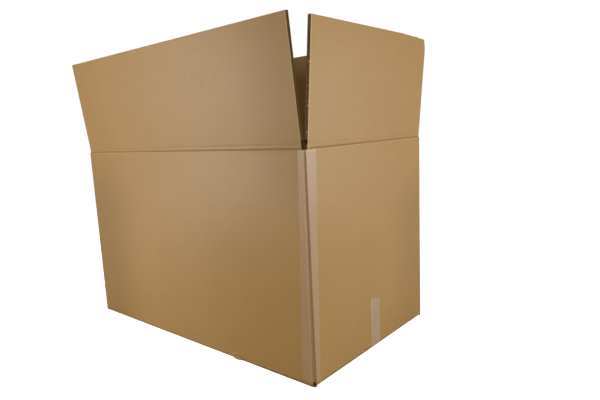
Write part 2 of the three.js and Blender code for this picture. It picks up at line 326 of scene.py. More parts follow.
class Finish:
    """A node material, or the room's node world: every node of it comes from the node method."""

    def __init__(self, name, library="materials"):
        self.owner = getattr(bpy.data, library).new(name)
        self.owner.use_nodes = True
        self.tree = self.owner.node_tree
        self.tree.nodes.clear()

    def node(self, kind, settings=None, inputs=None):
        made = self.tree.nodes.new(kind)
        for name, value in (settings or {}).items():
            setattr(made, name, value)
        for name, value in (inputs or {}).items():
            value = value.socket if isinstance(value, Value) else value
            if isinstance(value, bpy.types.NodeSocket):
                self.tree.links.new(value, made.inputs[name])
            else:
                made.inputs[name].default_value = value
        return made

    def math(self, operation, first, second=0.0):
        made = self.node("ShaderNodeMath", {"operation": operation}, {0: first, 1: second})
        return Value(self, made.outputs[0])

    def position(self):
        return self.node("ShaderNodeTexCoord").outputs["Object"]

    def axes(self, position):
        split = self.node("ShaderNodeSeparateXYZ", None, {0: position})
        return [Value(self, socket) for socket in split.outputs]

    def stretched(self, position, factors):
        made = self.node("ShaderNodeVectorMath", {"operation": "MULTIPLY"}, {0: position, 1: factors})
        return made.outputs[0]

    def noise(self, position, scale, detail=2.0, roughness=0.55):
        inputs = {"Vector": position, "Scale": scale, "Detail": detail, "Roughness": roughness}
        return Value(self, self.node("ShaderNodeTexNoise", None, inputs).outputs[0])

    def ramp(self, value, low, high):
        """0 below low and 1 above high, with a soft step between them."""
        inputs = {"Value": value, "From Min": low, "From Max": high}
        made = self.node("ShaderNodeMapRange", {"interpolation_type": "SMOOTHSTEP"}, inputs)
        return Value(self, made.outputs[0])

    def blend(self, factor, first, second):
        inputs = {0: factor, 6: as_colour(first), 7: as_colour(second)}
        return self.node("ShaderNodeMix", {"data_type": "RGBA"}, inputs).outputs[2]

    def bump(self, height, distance, strength=1.0, normal=None):
        inputs = {"Height": height, "Distance": distance, "Strength": strength}
        if normal is not None:
            inputs["Normal"] = normal
        return self.node("ShaderNodeBump", None, inputs).outputs[0]

    def surface(self, inputs):
        shader = self.node("ShaderNodeBsdfPrincipled", None, inputs)
        self.node("ShaderNodeOutputMaterial", None, {"Surface": shader.outputs[0]})
        return self.owner


def as_colour(colour):
    return colour if isinstance(colour, bpy.types.NodeSocket) else (*colour[:3], 1)


# Finishes

FLUTE_WAVE = 2 * math.pi
PALE_KRAFT = (0.66, 0.46, 0.27)
SCORE_SHADE = (0.15, 0.075, 0.022)
# Painted shade for the far ends of the panels
FAR_SHADE = (0.31, 0.172, 0.047)
HOLE_SHADE = (0.02, 0.01, 0.004)
SPECK_BROWN = (0.10, 0.055, 0.025)
TAPE_LOW_SHADE = (0.45, 0.28, 0.135)
TAPE_FRONT_SHADE = (0.38, 0.225, 0.09)
TAPE_RECESS_SHADE = (0.36, 0.205, 0.085)
TAPE_HIGHLIGHT = (0.68, 0.52, 0.38)
FILM_EDGE_HIGHLIGHT = (0.60, 0.43, 0.29)
KRAFT_COAT = 0.27
THREAD_PITCH = 9 * MM

# Holes at the bottom corners of the case: height of the middle, radius and distance in from each face
CORNER_HOLE = 5.6 * MM
CORNER_HOLE_RADIUS = 3.1 * MM
CORNER_HOLE_INSET = 3 * MM

# Painted shadows along the front bottom fold and a painted highlight on top of its bulge: place, half width,
# height, strength and colour
FRONT_FOLD_SHADING = [
    (0.167, 0.020, 8 * MM, 0.12, PALE_KRAFT), (0.174, 0.018, 0.6 * MM, 0.9, SCORE_SHADE),
    (0.249, 0.010, 1 * MM, 0.8, SCORE_SHADE), (0.276, 0.013, 1 * MM, 0.85, SCORE_SHADE),
    (0.318, 0.024, 1 * MM, 0.8, SCORE_SHADE), (-0.09, 0.03, 1 * MM, 0.3, SCORE_SHADE),
]

# Specks on the right end panel: place along it, height and radius
END_SPECKS = [
    (-0.162, 0.251, 1.8 * MM), (-0.070, 0.184, 1.6 * MM), (-0.197, 0.299, 1.3 * MM),
]


def to_near_corner(x, y):
    """Distance in from the end panel's face and the front panel's face, added up."""
    return (HALF_LENGTH - x) + (y + HALF_WIDTH)


def kraft_liner(name, colours, sizes, run="walls", cut_half=None, cut_highlight_share=0.15, scores=False, case=False):
    """Unbleached kraft: soft clouds, fine fibres, flecks and the faint washboard of the flutes, with painted
    light that keeps the long panels brighter near their middle and painted shade towards the far ends of the
    panels.

    run says along which axis the flutes follow each other, cut_half is the half width of a flap whose side
    cuts are dark, with a painted highlight just inside each cut, scores adds the pressed lines and case the
    specks, the painted shade along the bottom folds and in the corner holes, and a painted highlight on the
    front bulge.
    """
    finish = Finish(name)
    position = finish.position()
    x, y, z = finish.axes(position)
    along = {"walls": x + y, "x": x, "y": y}[run]
    fibre_stretch = {"walls": (0.1, 0.1, 1), "x": (0.1, 1, 1), "y": (1, 0.1, 1)}[run]
    clouds = finish.noise(position, 6, 3)
    blotches = finish.noise(position, 55, 4, 0.6)
    fibres = finish.noise(finish.stretched(position, fibre_stretch), 900, 4, 0.7)
    flecks = finish.ramp(finish.noise(position, 620, 2), 0.66, 0.78)
    wave = finish.math("SINE", along * (FLUTE_WAVE / sizes.fine_pitch))
    wave_shows = finish.ramp(finish.noise(position, 11, 1), 0.4, 0.62)
    long_panel = 1 - finish.ramp(x, 0.374, 0.38)
    # Painted light: the long panels stay lighter around x = -0.1, where the sheen of the light falls, and
    # darker towards both ends
    falloff_from_middle = finish.ramp(abs(x + 0.1), 0.05, 0.44) * long_panel
    ribs = wave_shows * 0.08 + finish.ramp(x, 0.27, 0.34) * long_panel * 0.16
    tone = (
        0.62 + (clouds - 0.5) * 0.55 + (blotches - 0.5) * 0.7 + (fibres - 0.5) * 0.6
        + wave * ribs - flecks * 0.35 - falloff_from_middle * 0.75
    )
    colour = finish.blend(tone, colours.liner_shade, colours.liner)
    # Painted shade towards the far ends of the long panels and low on the far part of the right panel
    colour = finish.blend(far_shade_share(finish, (x, y, z), long_panel), colour, FAR_SHADE)
    coat = KRAFT_COAT
    if cut_half:
        reach = abs(x if cut_half == SIDE_FLAP_HALF else y)
        # Painted highlight: a paler strip just inside each side cut
        cut_highlight = finish.ramp(reach + (blotches - 0.5) * (1.5 * MM), cut_half - 4 * MM, cut_half - 1.6 * MM)
        colour = finish.blend(cut_highlight * cut_highlight_share, colour, PALE_KRAFT)
        cut_face = finish.ramp(reach, cut_half - 0.3 * MM, cut_half - 0.05 * MM)
        if scores:
            cut_face = cut_face * finish.ramp(z, NOTCH - 0.4 * MM, NOTCH - 0.1 * MM)
        # The cut faces take the flute colour, which is partly painted shade of the hollow edge
        colour = finish.blend(cut_face, colour, colours.flutes)
        coat = (1 - cut_face) * coat
    if scores:
        colour = scored(finish, colour, position, (x, y, z))
    if case:
        colour = specks_and_fold_shading(finish, colour, blotches, (x, y, z))
    soft = finish.bump(clouds, 9 * MM, 0.35)
    washboard = finish.bump(wave * wave_shows, 0.03 * MM, 1.0, soft)
    grain = finish.bump(fibres + blotches * 0.5, 0.05 * MM, 0.6, washboard)
    roughness = 0.64 + (blotches - 0.5) * 0.12
    return finish.surface({
        "Base Color": colour, "Roughness": roughness, "Normal": grain, "Specular IOR Level": 0.2,
        "Coat Weight": coat, "Coat Roughness": 0.36,
    })


def far_shade_share(finish, axes, long_panel):
    """Share of painted shade towards the far ends of the long panels and of the right panel, where the light
    falls off.
    """
    x, y, z = axes
    left = finish.ramp(-1 * x, 0.12, 0.36) * (1 - finish.ramp(z, 0.3, 0.5) * 0.75)
    near = finish.ramp(x, 0.2, 0.35) * finish.ramp(z, 0.28, 0.46) * long_panel * 0.65
    end = finish.ramp(y, 0.04, 0.2) * (1 - finish.ramp(z, 0.27, 0.42)) * (1 - long_panel) * 0.45
    return left + near + end


def scored(finish, colour, position, axes):
    """Shaded bottoms of the two score lines, a painted highlight on the ridge below them and the smoothed
    near corner.
    """
    x, y, z = axes
    to_corner = to_near_corner(x, y)
    whole = finish.ramp(to_corner, 14 * MM, 20 * MM)
    main = 1 - finish.ramp(abs(z - END_CREASE), 0.3 * MM, 1.5 * MM)
    faint = 1 - finish.ramp(abs(z - SIDE_CREASE), 0.3 * MM, 1.4 * MM)
    ridge = 1 - finish.ramp(abs(z - (END_CREASE - 3.2 * MM)), 0.6 * MM, 2 * MM)
    colour = finish.blend(main * 0.46 * whole, colour, SCORE_SHADE)
    colour = finish.blend(faint * 0.10 * whole, colour, SCORE_SHADE)
    # Painted highlight on the ridge below the main score line
    colour = finish.blend(ridge * 0.22, colour, PALE_KRAFT)
    on_end = finish.ramp(x, HALF_LENGTH - 6 * MM, HALF_LENGTH - 3 * MM)
    band = finish.ramp(z, END_CREASE - 1 * MM, END_CREASE + 1 * MM) * (
        1 - finish.ramp(z, SIDE_CREASE - 1 * MM, SIDE_CREASE + 2 * MM))
    wrinkle = finish.ramp(finish.noise(position, 420, 2), 0.3, 0.6)
    return finish.blend((1 - whole) * on_end * band * wrinkle * 0.4, colour, PALE_KRAFT)


def specks_and_fold_shading(finish, colour, blotches, axes):
    """Specks on the right panel, painted shade along the bottom folds and in the corner holes, and a painted
    highlight on top of the front bulge.
    """
    x, y, z = axes
    for speck_y, speck_z, radius in END_SPECKS:
        near = finish.ramp(abs(y - speck_y) + abs(z - speck_z), radius * 0.6, radius * 1.4)
        shown = (1 - near) * finish.ramp(x, HALF_LENGTH - 3 * MM, HALF_LENGTH - 2 * MM)
        colour = finish.blend(shown * 0.7, colour, SPECK_BROWN)
    uneven = (blotches - 0.5) * (6 * MM)
    deep = 1 - finish.ramp(abs(y + 0.09), 0.05, 0.14) * 0.5
    end_shade = (1 - finish.ramp(z + uneven, 4 * MM, 7.5 * MM)) * finish.ramp(x, 0.3, 0.37) * deep
    colour = finish.blend(end_shade * 0.85, colour, SCORE_SHADE)
    side_shade = (1 - finish.ramp(z + uneven * 0.5, 1 * MM, 4 * MM)) * finish.ramp(abs(y), 0.21, 0.222)
    colour = finish.blend(side_shade * 0.6, colour, SCORE_SHADE)
    # Painted shadows under the front bottom fold and a painted highlight on top of its bulge
    for mark_x, half, height, share, shade in FRONT_FOLD_SHADING:
        across = 1 - finish.ramp(abs(x - mark_x), half * 0.6, half)
        reach = 1 - finish.ramp(abs(z - height), 1.5 * MM, 3.6 * MM)
        on_front = finish.ramp(-1 * y, HALF_WIDTH - 7 * MM, HALF_WIDTH - 4 * MM)
        colour = finish.blend(across * reach * on_front * share, colour, shade)
    to_corner = to_near_corner(x, y)
    hole = (1 - finish.ramp(to_corner, 4.5 * MM, 6.5 * MM)) * (
        1 - finish.ramp(abs(z - CORNER_HOLE), 1.6 * MM, 2.8 * MM))
    return finish.blend(hole * 0.9, colour, HOLE_SHADE)


def fluted_paper(name, colours):
    """Recycled fluting medium, darker than the liners; its very dark colour is partly painted shade of the
    hollow flutes in the cut edges.
    """
    finish = Finish(name)
    position = finish.position()
    grain = finish.noise(position, 700, 3, 0.65)
    patches = finish.noise(position, 90, 2)
    tone = 0.35 + (grain - 0.5) * 0.9 + (patches - 0.5) * 0.5
    pale = [min(1, channel * 1.5) for channel in colours.flutes]
    colour = finish.blend(tone, colours.flutes, pale)
    bump = finish.bump(grain, 0.06 * MM, 0.7)
    return finish.surface({
        "Base Color": colour, "Roughness": 0.85, "Normal": bump, "Specular IOR Level": 0.2,
    })


def gummed_paper(name, colours):
    """Paler, pinker paper tape with reinforcing threads, painted shade in the fold of the recess, low down
    and on its lower front side, and painted highlights along its top and up its end side.
    """
    finish = Finish(name)
    position = finish.position()
    x, y, z = finish.axes(position)
    clouds = finish.noise(position, 14, 3)
    fibres = finish.noise(finish.stretched(position, (1, 1, 0.12)), 700, 3, 0.65)
    threads = finish.math("SINE", (x + y) * (FLUTE_WAVE / THREAD_PITCH))
    tone = 0.5 + (clouds - 0.5) * 0.9 + (fibres - 0.5) * 0.8 + finish.ramp(threads, 0.9, 1) * 0.12
    dark = [channel * 0.86 for channel in colours.paper_tape]
    pale = [min(1, channel * 1.10) for channel in colours.paper_tape]
    colour = finish.blend(tone, dark, pale)
    # Painted shade: the tape turns darker towards the bottom
    colour = finish.blend((1 - finish.ramp(z, 0.15, 0.44)) * 0.75, colour, TAPE_LOW_SHADE)
    # Painted shade on the lower part of the tape's front side
    front_shade_mask = (1 - finish.ramp(z, 0.22, 0.46)) * finish.ramp(HALF_LENGTH - x, 6.5 * MM, 8 * MM)
    colour = finish.blend(front_shade_mask * 0.6, colour, TAPE_FRONT_SHADE)
    recess = finish.ramp(
        finish.math("MINIMUM", HALF_LENGTH - x, y + HALF_WIDTH), 0.1 * MM, 0.9 * MM)
    colour = finish.blend(recess * 0.9, colour, TAPE_RECESS_SHADE)
    # Painted highlights along the top of the tape and on the upper part of its end side
    top = finish.ramp(z, END_CREASE - 9 * MM, END_CREASE - 3 * MM)
    lit = finish.ramp(z, 0.3, END_CREASE) * finish.ramp(x, HALF_LENGTH - 1 * MM, HALF_LENGTH)
    colour = finish.blend(top * 0.35 + lit * 0.4, colour, TAPE_HIGHLIGHT)
    bump = finish.bump(fibres + finish.ramp(threads, 0.9, 1) * 0.4, 0.07 * MM, 0.8)
    return finish.surface({
        "Base Color": colour, "Roughness": 0.7 + (clouds - 0.5) * 0.1, "Normal": bump,
        "Specular IOR Level": 0.3,
    })


def packing_film(name, colours):
    """Buff film tape with long faint stretch lines and a painted highlight along its front edge."""
    finish = Finish(name)
    position = finish.position()
    y = finish.axes(position)[1]
    lines = finish.noise(finish.stretched(position, (0.05, 1, 0.05)), 500, 2)
    clouds = finish.noise(position, 30, 3)
    tone = 0.5 + (lines - 0.5) * 1.3 + (clouds - 0.5) * 0.6
    dark = [channel * 0.9 for channel in colours.seam_tape]
    pale = [min(1, channel * 1.08) for channel in colours.seam_tape]
    colour = finish.blend(tone, dark, pale)
    # Painted highlight along the front edge of the tape
    near_edge = finish.ramp(-1 * y, 12 * MM, 15 * MM)
    colour = finish.blend(near_edge * 0.5, colour, FILM_EDGE_HIGHLIGHT)
    bump = finish.bump(lines, 0.05 * MM, 0.5)
    return finish.surface({
        "Base Color": colour, "Roughness": 0.42 + (clouds - 0.5) * 0.2, "Normal": bump,
        "Specular IOR Level": 0.5,
    })


def paint(piece, *materials):
    for material in materials:
        piece.data.materials.append(material)


# Board

FLUTE_STEPS = 8


def flute_row(half, near, depth, pitch, sizes, low, high):
    """One wavy sheet of fluted paper, made as a single wave and repeated along the board."""
    count = int((2 * half - 2 * sizes.flute_recess) // pitch)
    start = -count * pitch / 2
    bpy.ops.object.select_all(action="DESELECT")
    bpy.ops.mesh.primitive_grid_add(x_subdivisions=FLUTE_STEPS, y_subdivisions=1, size=1)
    row = bpy.context.object
    row.rotation_euler.x = math.pi / 2
    row.scale = (pitch, high - low, 1)
    row.location = (start + pitch / 2, near + depth / 2, (low + high) / 2)
    apply_place()
    swing = (depth - sizes.flute_paper) / 2
    with editing(row, "VERT"):
        for step in range(FLUTE_STEPS + 1):
            here = start + pitch * step / FLUTE_STEPS
            pick(row, "verts", lambda point: abs(point.x - here) < NEAR)
            bpy.ops.transform.translate(value=(0, swing * math.sin(2 * math.pi * step / FLUTE_STEPS), 0))
    add_modifier(
        row, "ARRAY", count=count, use_relative_offset=False, use_constant_offset=True,
        constant_offset_displace=(pitch, 0, 0), use_merge_vertices=True, merge_threshold=NEAR)
    add_modifier(row, "SOLIDIFY", thickness=sizes.flute_paper, offset=0)
    return row


def board_sheet(name, half, low, high, sizes, liner, flutes):
    """Three liners with a fine and a coarse row of flutes between them, in the panel's own axes."""
    depths = [0, sizes.liner + sizes.fine_depth, 2 * sizes.liner + sizes.fine_depth + sizes.coarse_depth]
    liners = [
        block("liner", (-half, depth, low), (half, depth + sizes.liner, high)) for depth in depths
    ]
    rows = [
        flute_row(half, sizes.liner, sizes.fine_depth, sizes.fine_pitch, sizes, low, high - 0.3 * MM),
        flute_row(half, 2 * sizes.liner + sizes.fine_depth, sizes.coarse_depth, sizes.coarse_pitch,
                  sizes, low, high - 0.4 * MM),
    ]
    for sheet in liners:
        paint(sheet, liner)
    for row in rows:
        smooth(row, 60)
        paint(row, flutes)
    return joined(name, liners + rows)


# Case walls

def corner_cylinder(sign_x, sign_y):
    """A round cutter that runs level through one bottom corner of the case."""
    corner_x = sign_x * (HALF_LENGTH - CORNER_HOLE_INSET)
    corner_y = sign_y * (HALF_WIDTH - CORNER_HOLE_INSET)
    bpy.ops.object.select_all(action="DESELECT")
    bpy.ops.mesh.primitive_cylinder_add(
        vertices=14, radius=CORNER_HOLE_RADIUS, depth=24 * MM, location=(corner_x, corner_y, CORNER_HOLE),
        rotation=(math.pi / 2, 0, -sign_x * sign_y * math.radians(45)))
    apply_place()
    return bpy.context.object


JOINT_RECESS_TOP = 3.2 * MM
JOINT_RECESS_BOTTOM = 6.5 * MM
JOINT_APEX = 1.8 * MM
JOINT_LOW = 8 * MM
BRUISE_SIZE = (17 * MM, 7 * MM, 4.2 * MM)
BRUISE_PLACE = (0.172, -HALF_WIDTH - 0.5 * MM, 4.3 * MM)


def recess_at(height):
    share = height / SIDE_CREASE
    return JOINT_RECESS_BOTTOM + (JOINT_RECESS_TOP - JOINT_RECESS_BOTTOM) * share


def joint_wedge():
    """The room between the two cut ends of the sheet at the near corner, wider towards the floor."""
    low, high = JOINT_LOW, SIDE_CREASE
    wedge = block("wedge", (HALF_LENGTH - OVER, -HALF_WIDTH - OVER, low), (
        HALF_LENGTH + OVER, -HALF_WIDTH + OVER, high))
    with editing(wedge, "VERT"):
        for height in (low, high):
            recess = recess_at(height)
            depth = recess / 2 + JOINT_APEX
            for inner_x, inner_y, move in (
                (True, False, (OVER - recess, 0, 0)),
                (False, True, (0, recess - OVER, 0)),
                (True, True, (OVER - depth, depth - OVER, 0)),
            ):
                pick(wedge, "verts", lambda point: (
                    abs(point.z - height) < NEAR
                    and (point.x < HALF_LENGTH) == inner_x
                    and (point.y > -HALF_WIDTH) == inner_y))
                bpy.ops.transform.translate(value=move)
    return wedge


def fold_bruise():
    """A small bulge where the front bottom fold was knocked."""
    bpy.ops.object.select_all(action="DESELECT")
    bpy.ops.mesh.primitive_uv_sphere_add(segments=24, ring_count=12, radius=1)
    bulge = bpy.context.object
    bulge.scale = BRUISE_SIZE
    bulge.location = BRUISE_PLACE
    apply_place()
    return bulge


def case_walls(sizes, liner):
    walls = block("case_walls", (-HALF_LENGTH, -HALF_WIDTH, 0), (HALF_LENGTH, HALF_WIDTH, WALL_TOP))
    with editing(walls, "EDGE"):
        pick(walls, "edges", lambda point: abs(point.x) > INNER_X and abs(point.y) > INNER_Y)
        bpy.ops.mesh.bevel(offset=sizes.fold_radius, segments=6, affect="EDGES")
        pick(walls, "edges", lambda point: point.z < NEAR and abs(point.y) > HALF_WIDTH - NEAR)
        bpy.ops.mesh.bevel(offset=4 * MM, segments=5, affect="EDGES")
    inside = block("inside", (-INNER_X, -INNER_Y, -OVER), (INNER_X, INNER_Y, WALL_TOP + OVER))
    lifts = [
        block("lift", (min(x0, x1), -INNER_Y, -OVER), (max(x0, x1), INNER_Y, END_FOLD_LIFT))
        for x0, x1 in ((INNER_X - OVER, HALF_LENGTH + OVER), (OVER - INNER_X, -HALF_LENGTH - OVER))
    ]
    cut(walls, inside, *lifts)
    with editing(walls, "EDGE"):
        pick(walls, "edges", lambda point: (
            abs(point.x) > HALF_LENGTH - NEAR and abs(point.z - END_FOLD_LIFT) < NEAR
            and abs(point.y) < INNER_Y - OVER))
        bpy.ops.mesh.bevel(offset=END_FOLD_LIFT, segments=4, affect="EDGES")
    holes = [corner_cylinder(sign_x, sign_y) for sign_x in (-1, 1) for sign_y in (-1, 1)]
    cut(walls, *holes, joint_wedge())
    walls = joined("case_walls", [walls, fold_bruise()])
    smooth(walls)
    add_modifier(walls, "WEIGHTED_NORMAL", keep_sharp=True, weight=90)
    paint(walls, liner)
    return walls


# Creases

def crease_roll(where, sizes, liner):
    """The pressed board between a wall and its flap, with the double score line on its outer face."""
    name = where.name + "_crease"
    roll = block(name, (-where.wall_half, 0, WALL_TOP), (where.wall_half, BOARD, FLAP_ROOT))
    if where.wall_half > where.flap_half:
        with editing(roll, "EDGE"):
            pick(roll, "edges", lambda point: (
                abs(point.x) > where.wall_half - NEAR and point.y < NEAR
                and WALL_TOP < point.z < FLAP_ROOT))
            bpy.ops.mesh.bevel(offset=sizes.fold_radius, segments=6, affect="EDGES")
        cut(roll, *[
            block("slot", (min(a, b), -OVER, NOTCH), (max(a, b), BOARD + OVER, FLAP_ROOT + OVER))
            for a, b in (
                (where.flap_half, where.wall_half + OVER), (-where.flap_half, -where.wall_half - OVER))
        ])
    count = round((FLAP_ROOT - WALL_TOP) / CREASE_ROW)
    rows = [WALL_TOP + (FLAP_ROOT - WALL_TOP) * step / count for step in range(1, count)]
    slice_at(roll, [(0, 0, row) for row in rows], (0, 0, 1))

    def score(height):
        main = sizes.main_score * math.exp(-(((height - END_CREASE) / (1.3 * MM)) ** 2))
        ridge = -0.30 * MM * math.exp(-(((height - END_CREASE + 3.2 * MM) / (1.5 * MM)) ** 2))
        faint = sizes.faint_score * math.exp(-(((height - SIDE_CREASE) / (1.2 * MM)) ** 2))
        return main + ridge + faint

    def pressed(height):
        reach = abs(height - where.crease) / (7 * MM)
        return -2.6 * MM * max(0, 1 - reach) ** 1.5

    with editing(roll, "VERT"):
        for row in rows:
            pick(roll, "verts", lambda point: abs(point.z - row) < NEAR and point.y < NEAR)
            bpy.ops.transform.translate(value=(0, score(row), 0))
            pick(roll, "verts", lambda point: abs(point.z - row) < NEAR and point.y > BOARD - NEAR)
            bpy.ops.transform.translate(value=(0, pressed(row), 0))
    start, end = where.crease - BEND_REACH, where.crease + BEND_REACH
    hinge = Vector((0, 0, where.crease))
    for vertex in roll.data.vertices:
        share = min(1, max(0, (vertex.co.z - start) / (end - start)))
        turn = Matrix.Rotation(where.lean * share * share * (3 - 2 * share), 3, "X")
        vertex.co = turn @ (vertex.co - hinge) + hinge
    place(roll, wall_matrix(where))
    if where.name in ("front", "right"):
        cut(roll, joint_wedge())
    smooth(roll, 40)
    paint(roll, liner)
    return roll


# Operators


class CARTON_OT_case(bpy.types.Operator):
    """Build the four case walls with their folds, corner holes and open joint"""
    bl_idname = "carton.case"
    bl_label = "Case walls"

    def execute(self, context):
        sizes, colours = context.scene.carton_sizes, context.scene.carton_colours
        walls = case_walls(sizes, kraft_liner("wall_liner", colours, sizes, case=True))
        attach(walls, "case")
        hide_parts("case_body")
        return {"FINISHED"}


class CARTON_OT_bottom(bpy.types.Operator):
    """Build the four closed bottom flaps in their two layers"""
    bl_idname = "carton.bottom"
    bl_label = "Bottom flaps"

    def execute(self, context):
        sizes, colours = context.scene.carton_sizes, context.scene.carton_colours
        flutes = fluted_paper("bottom_flutes", colours)
        liners = {
            run: kraft_liner("floor_liner_" + run, colours, sizes, run=run) for run in ("x", "y")
        }
        for where in SIDES:
            is_side = where.distance == HALF_WIDTH
            half = INNER_X - BOTTOM_SLOT if is_side else INNER_Y - BOTTOM_SLOT
            flap = board_sheet(
                where.name + "_bottom_flap", half, BOARD, FLAP_LENGTH, sizes,
                liners["x" if is_side else "y"], flutes)
            lift = Matrix.Translation((0, 0, 0 if is_side else MINOR_FLOOR))
            down = Matrix(((-1, 0, 0, 0), (0, 0, 1, 0), (0, 1, 0, 0), (0, 0, 0, 1)))
            place(flap, lift @ wall_matrix(where) @ down)
            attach(flap, "case")
        return {"FINISHED"}


class CARTON_OT_flaps(bpy.types.Operator):
    """Build the four top flaps with open flutes at their cut edges"""
    bl_idname = "carton.flaps"
    bl_label = "Top flaps"

    def execute(self, context):
        sizes, colours = context.scene.carton_sizes, context.scene.carton_colours
        flutes = fluted_paper("flap_flutes", colours)
        for where in SIDES:
            liner = kraft_liner(
                where.name + "_flap_liner", colours, sizes, cut_half=where.flap_half,
                cut_highlight_share=0.5 if where.name == "right" else 0.15)
            root = FLAP_ROOT - where.crease
            name = where.name + "_flap"
            flap = board_sheet(
                name + "_board", where.flap_half, root, FLAP_LENGTH, sizes, liner, flutes)
            if where.name == "right":
                crush_corner(flap, where)
            place(flap, flap_matrix(where))
            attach(flap, name)
            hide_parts(name)
        return {"FINISHED"}


CRUSH_WIDTH = 9 * MM
CRUSH_HEIGHT = 26 * MM
DROOP_LENGTH = 115 * MM
DROOP = 4.2 * MM


def crush_corner(flap, where):
    """The far top corner is knocked in: its tip is lost and the top edge droops towards it."""
    edge = where.flap_half
    planes = [
        ((edge, 0, FLAP_LENGTH - CRUSH_HEIGHT), (CRUSH_HEIGHT, 0, CRUSH_WIDTH)),
        ((edge - DROOP_LENGTH, 0, FLAP_LENGTH), (DROOP, 0, DROOP_LENGTH)),
    ]
    with editing(flap):
        for point, normal in planes:
            bpy.ops.mesh.select_all(action="SELECT")
            bpy.ops.mesh.bisect(
                plane_co=point, plane_no=Vector(normal).normalized(), use_fill=True, clear_outer=True,
                threshold=NEAR / 10)


class CARTON_OT_creases(bpy.types.Operator):
    """Build the pressed board of the four top creases, bent to the lean of each open flap"""
    bl_idname = "carton.creases"
    bl_label = "Top creases"

    def execute(self, context):
        sizes, colours = context.scene.carton_sizes, context.scene.carton_colours
        for where in SIDES:
            liner = kraft_liner(
                where.name + "_crease_liner", colours, sizes, cut_half=where.flap_half, cut_highlight_share=0, scores=True)
            roll = crease_roll(where, sizes, liner)
            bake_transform(roll)
        return {"FINISHED"}


TAPE_THICKNESS = 0.35 * MM
TAPE_SEAT = 0.12 * MM
JOINT_TAPE_FRONT = (30 * MM, 16.5 * MM)
JOINT_TAPE_END = (18 * MM, 32.5 * MM)
JOINT_TAPE_LOW = 10 * MM
JOINT_TAPE_TOP = END_CREASE - 3 * MM


def mixed(pair, share):
    return pair[0] + (pair[1] - pair[0]) * share


def ragged(place_along, size):
    return size * (math.sin(place_along * 2100) * 0.6 + math.sin(place_along * 4700 + 1) * 0.4)


class CARTON_OT_joint_tape(bpy.types.Operator):
    """Lay the paper tape over the open joint at the near corner"""
    bl_idname = "carton.joint_tape"
    bl_label = "Joint tape"

    def execute(self, context):
        def point(u, v):
            front, end = mixed(JOINT_TAPE_FRONT, v), mixed(JOINT_TAPE_END, v)
            height = JOINT_TAPE_LOW + (JOINT_TAPE_TOP - JOINT_TAPE_LOW) * v
            recess = recess_at(height)
            depth = recess / 2 + JOINT_APEX - 2 * TAPE_THICKNESS
            stations = [
                (front, -TAPE_SEAT), (front / 2 + recess / 2, -TAPE_SEAT), (recess, -TAPE_SEAT),
                (depth, depth), (-TAPE_SEAT, recess), (-TAPE_SEAT, end / 2 + recess / 2),
                (-TAPE_SEAT, end),
            ]
            spread = u * (len(stations) - 1)
            index = min(int(spread + 1e-6), len(stations) - 2)
            share = spread - index
            inward_x = mixed((stations[index][0], stations[index + 1][0]), share)
            inward_y = mixed((stations[index][1], stations[index + 1][1]), share)
            if v > 0.999 or v < 0.001:
                height += ragged(inward_x - inward_y, 0.45 * MM) + 1.6 * MM * u * (v > 0.5)
            return (HALF_LENGTH - inward_x, -HALF_WIDTH + inward_y, height)

        tape = mapped_sheet("joint_tape_paper", 24, 60, TAPE_THICKNESS, point)
        smooth(tape, 40)
        paint(tape, gummed_paper("joint_tape_finish", context.scene.carton_colours))
        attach(tape, "case")
        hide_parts("joint_tape")
        return {"FINISHED"}


SEAM_TAPE_STEP = 5 * MM
SEAM_TAPE_COLUMNS = 16
SEAM_TAPE_TURNS = 6


class CARTON_OT_seam_tape(bpy.types.Operator):
    """Lay the film tape along the bottom seam and up both end panels"""
    bl_idname = "carton.seam_tape"
    bl_label = "Seam tape"

    def execute(self, context):
        sizes = context.scene.carton_sizes
        floor = TAPE_THICKNESS + 0.05 * MM
        radius = END_FOLD_LIFT
        centre_x, centre_z = HALF_LENGTH - radius, END_FOLD_LIFT + radius
        path = [(0, floor), (INNER_X - 4 * MM, floor), (centre_x - radius, floor)]
        path += [
            (centre_x + (radius + TAPE_SEAT) * math.sin(math.pi / 2 * step / SEAM_TAPE_TURNS),
             centre_z - (radius + TAPE_SEAT) * math.cos(math.pi / 2 * step / SEAM_TAPE_TURNS))
            for step in range(1, SEAM_TAPE_TURNS + 1)
        ]
        path += [
            (HALF_LENGTH + TAPE_SEAT, mixed((centre_z, sizes.seam_tape_tail), share))
            for share in (0.25, 0.5, 0.75, 0.97, 1)
        ]
        stations = [(-x, z) for x, z in reversed(path[1:])] + path

        def point(u, v):
            x, z = stations[round(v * (len(stations) - 1))]
            across = sizes.seam_tape_width * (u - 0.5)
            if z > sizes.seam_tape_tail * 0.9:
                torn = 1 if z > sizes.seam_tape_tail * 0.99 else 0.7
                step = SEAM_TAPE_STEP if across > 1 * MM else 0
                z -= torn * step + ragged(across, 0.5 * MM)
            return (x, across, z)

        tape = mapped_sheet(
            "seam_tape_film", SEAM_TAPE_COLUMNS, len(stations) - 1, TAPE_THICKNESS, point)
        smooth(tape, 40)
        paint(tape, packing_film("seam_tape_finish", context.scene.carton_colours))
        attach(tape, "case")
        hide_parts("seam_tape")
        return {"FINISHED"}


# Torn fibres on the near cut of the right flap: height above its crease and half height
TORN_FIBRES = [
    (150 * MM, 2.6 * MM), (126 * MM, 1.2 * MM), (109 * MM, 2.0 * MM), (98 * MM, 1.6 * MM),
    (84 * MM, 1.3 * MM), (75 * MM, 2.0 * MM), (52 * MM, 1.2 * MM), (29 * MM, 2.2 * MM),
]
TORN_OUTSIDE = 0.32 * MM
TORN_INSIDE = 0.2 * MM
TORN_REACH = 1.7


